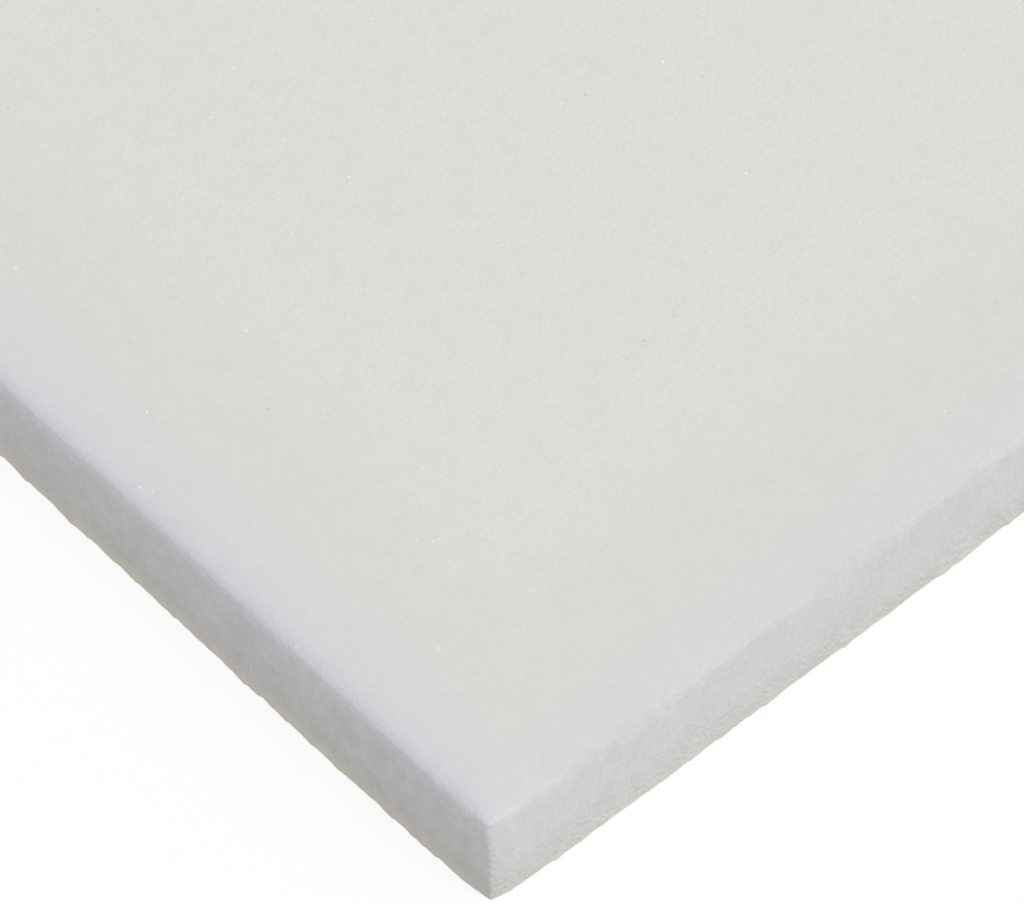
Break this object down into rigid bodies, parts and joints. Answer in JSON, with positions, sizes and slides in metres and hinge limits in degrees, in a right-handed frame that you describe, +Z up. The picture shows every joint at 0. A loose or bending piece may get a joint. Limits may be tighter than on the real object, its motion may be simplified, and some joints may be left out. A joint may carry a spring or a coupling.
{
  "type": "adhesive foam padding",
  "caption": "Square slab of fine-celled white foam with an adhesive film and peel-off release paper over its underside.",
  "frame": {"origin": "centre of the underside of the release paper, the face that the sheet lies on", "axes": "+Z up through the thickness, from the release paper to the bare foam face; X and Y along the sides of the sheet"},
  "size_m": [0.3048, 0.3048, 0.0129],
  "materials": {
    "foam": "fine closed cells, matt, slightly translucent",
    "adhesive": "clear tacky film with a faint straw tint",
    "release_paper": "calendered and silicone coated, low sheen"
  },
  "bodies": {
    "root": {"foam_sheet": "foam", "adhesive_film": "adhesive", "release_liner": "release_paper"}
  },
  "joints": []
}
